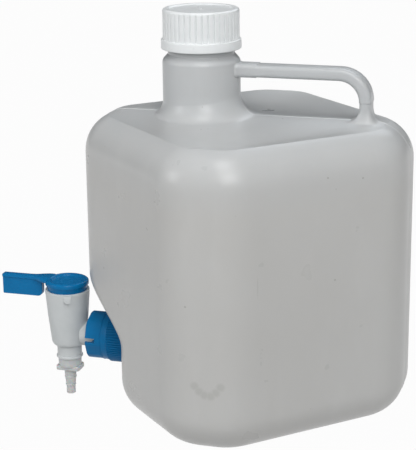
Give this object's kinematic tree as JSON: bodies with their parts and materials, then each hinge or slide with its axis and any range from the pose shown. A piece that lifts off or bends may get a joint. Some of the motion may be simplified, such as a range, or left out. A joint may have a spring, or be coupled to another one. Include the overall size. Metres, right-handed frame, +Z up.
{
  "type": "carboy with spigot",
  "caption": "Square blow-moulded carboy with cut-back corners, integral handle, ribbed screw cap and a lever tap held in a corner recess by a union nut.",
  "frame": {"origin": "centre of the flat base", "axes": "+Z up; the tap points along -Y; the handle runs from the neck towards +Y; the YZ plane is the mould's parting plane"},
  "size_m": [0.2682, 0.3493, 0.3374],
  "materials": {
    "natural_hdpe": "satin translucent natural polyethylene",
    "white_pp": "smooth white moulding",
    "liner_foam": "fine closed foam",
    "blue_pp": "smooth blue moulding",
    "seal_rubber": "matt black seal",
    "tap_white": "satin white moulding",
    "lever_blue": "glossy blue moulding",
    "nozzle_natural": "satin translucent natural moulding"
  },
  "bodies": {
    "carboy": {"bottle": "natural_hdpe", "union_nut": "blue_pp", "inlet_gasket": "seal_rubber", "tap_body": "tap_white", "nozzle": "nozzle_natural"},
    "liner": {"cap_liner": "liner_foam"},
    "cap": {"cap": "white_pp"},
    "lever": {"lever_plug": "lever_blue"}
  },
  "joints": [
    {"name": "cap_rise", "type": "slide", "parent": "carboy", "child": "liner", "axis": [0, 0, 1], "range_m": [0, 0.0075]},
    {"name": "cap_turn", "type": "hinge", "parent": "liner", "child": "cap", "pos_m": [0, -0.0375, 0.305], "axis": [0, 0, 1], "range_deg": [0, 540]},
    {"name": "lever_turn", "type": "hinge", "parent": "carboy", "child": "lever", "pos_m": [0, -0.1592, 0.08], "axis": [0, 0, 1], "range_deg": [0, 90]}
  ],
  "couplings": [
    {"joint": "cap_rise", "follows": "cap_turn", "m_per_rad": 0.00079577}
  ]
}
